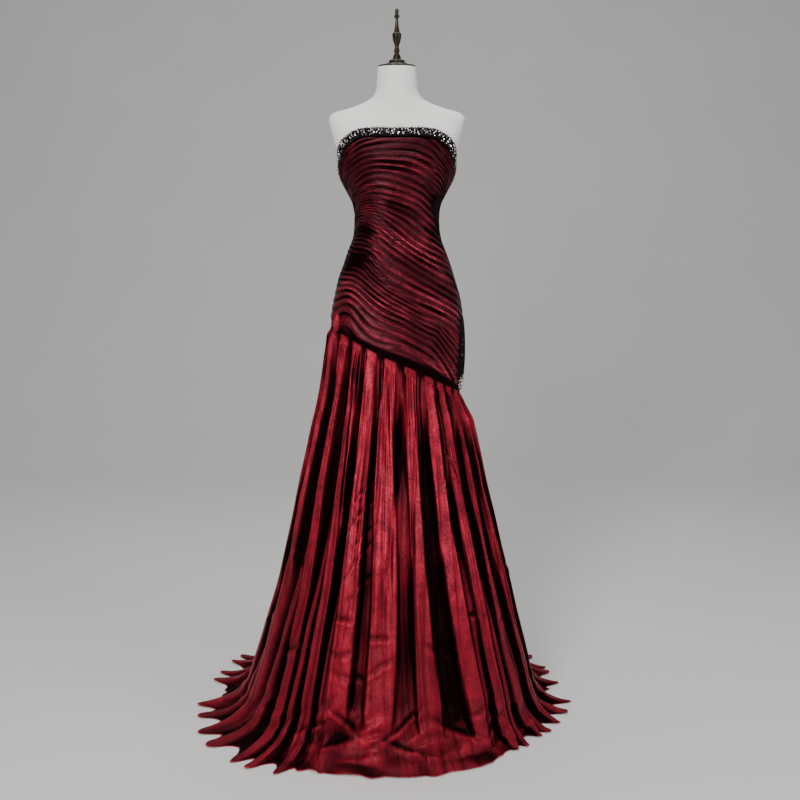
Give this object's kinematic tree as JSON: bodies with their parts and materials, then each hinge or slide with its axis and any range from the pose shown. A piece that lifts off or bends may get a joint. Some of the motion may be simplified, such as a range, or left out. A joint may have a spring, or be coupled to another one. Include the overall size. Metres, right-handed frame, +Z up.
{
  "type": "evening dress on dress form",
  "caption": "Strapless crimson evening dress with a ruched bodice, beaded neckline, diagonal hip seam and gathered skirt with a short train, on a limbless dress form.",
  "frame": {"origin": "centre of the stand base's underside, on the form's upright axis, at the floor", "axes": "+Z up along the form's neck and finial, -Y is the front of the dress, +X is the viewer's right when seen from the front"},
  "size_m": [1.032, 1.0964, 1.8496],
  "materials": {
    "form_cover": "matt jersey cover, off-white",
    "turned_wood": "dark gloss lacquer",
    "stand_metal": "satin black",
    "dress_cloth": "shot taffeta with a soft sheen",
    "beaded_cloth": "black net closely sewn with glass beads"
  },
  "bodies": {
    "root": {"form_torso": "form_cover", "neck_cap": "turned_wood", "finial": "turned_wood", "stand_pole": "stand_metal", "stand_base": "stand_metal", "bodice_front": "dress_cloth", "bodice_back_left": "dress_cloth", "bodice_back_right": "dress_cloth", "neckline_band": "beaded_cloth", "skirt_front": "dress_cloth", "skirt_back_left": "dress_cloth", "skirt_back_right": "dress_cloth", "gather_knot": "dress_cloth", "hip_ornament": "beaded_cloth"}
  },
  "joints": []
}
